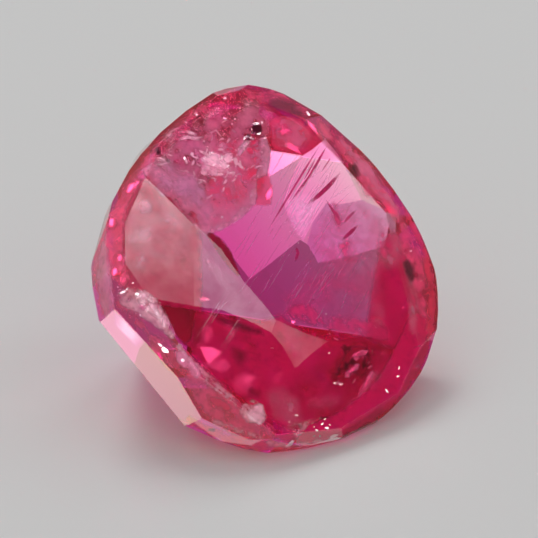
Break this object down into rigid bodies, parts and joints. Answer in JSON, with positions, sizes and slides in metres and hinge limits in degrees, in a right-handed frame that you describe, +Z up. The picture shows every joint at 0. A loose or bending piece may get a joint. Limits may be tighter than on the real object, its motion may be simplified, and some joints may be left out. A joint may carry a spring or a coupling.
{
  "type": "ruby",
  "caption": "Loose cushion-cut ruby, purplish red and see-through, lying on a pavilion facet with its large table turned up to the light.",
  "frame": {"origin": "middle of the bounding box's base, on the surface that the stone lies on", "axes": "+Z up with the stone lying on its resting pavilion facet; +X to the right as seen from the pictured side, which faces -Y"},
  "size_m": [0.0064, 0.0058, 0.0051],
  "materials": {
    "ruby": "polished facets, purplish-red clear crystal, refractive index about 1.76",
    "inclusion": "dark red mineral crystals and needles sealed in the stone",
    "fissure": "whitish healed fissures, glittering where they catch the light"
  },
  "bodies": {
    "root": {"ruby": "ruby"}
  },
  "joints": []
}
